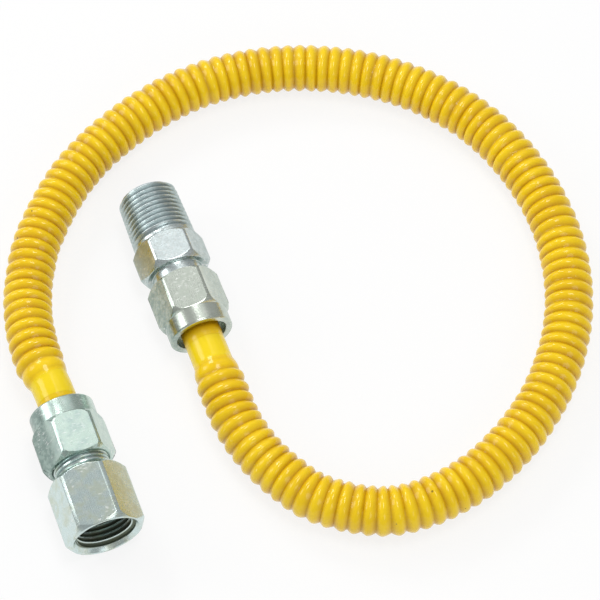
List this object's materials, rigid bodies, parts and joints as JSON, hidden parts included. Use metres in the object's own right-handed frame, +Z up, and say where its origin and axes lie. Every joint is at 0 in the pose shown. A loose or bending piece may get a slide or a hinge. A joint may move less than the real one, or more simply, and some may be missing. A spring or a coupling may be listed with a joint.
{
  "type": "flexible gas hose",
  "caption": "Coated corrugated gas hose lying in an open loop, with flare nuts and with internal and external pipe thread adapters on its ends.",
  "frame": {"origin": "on the floor under the middle of the part's bounding box", "axes": "+Z up from the floor, +Y the way the external pipe thread points, -Y the way the internal pipe thread opens, +X across the loop from the fittings"},
  "size_m": [0.2046, 0.1961, 0.0255],
  "materials": {
    "coating": "glossy yellow polymer coating on corrugated stainless steel",
    "nut_zinc": "satin bright zinc plating",
    "female_zinc": "satin bright zinc plating",
    "male_zinc": "satin bright zinc plating with a blue tint"
  },
  "bodies": {
    "hose": {"corrugated_tube": "coating"},
    "female_nut": {"female_flare_nut": "nut_zinc"},
    "female_end": {"female_adapter": "female_zinc"},
    "male_nut": {"male_flare_nut": "nut_zinc"},
    "male_end": {"male_adapter": "male_zinc"}
  },
  "joints": [
    {"name": "female_nut_turn", "type": "hinge", "parent": "hose", "child": "female_nut", "pos_m": [-0.0886, -0.03, 0.01276], "axis": [0, 1, 0], "range_deg": [0, 1800]},
    {"name": "female_adapter_slide", "type": "slide", "parent": "hose", "child": "female_end", "axis": [0, -1, 0], "range_m": [0, 0.00794]},
    {"name": "male_nut_turn", "type": "hinge", "parent": "hose", "child": "male_nut", "pos_m": [-0.03525, 0.004, 0.01144], "axis": [0, -1, 0], "range_deg": [0, 1800]},
    {"name": "male_adapter_slide", "type": "slide", "parent": "hose", "child": "male_end", "axis": [0, 1, 0], "range_m": [0, 0.00794]}
  ],
  "couplings": [
    {"joint": "female_nut_turn", "follows": "female_adapter_slide", "rad_per_m": 3957.9},
    {"joint": "male_nut_turn", "follows": "male_adapter_slide", "rad_per_m": 3957.9}
  ]
}
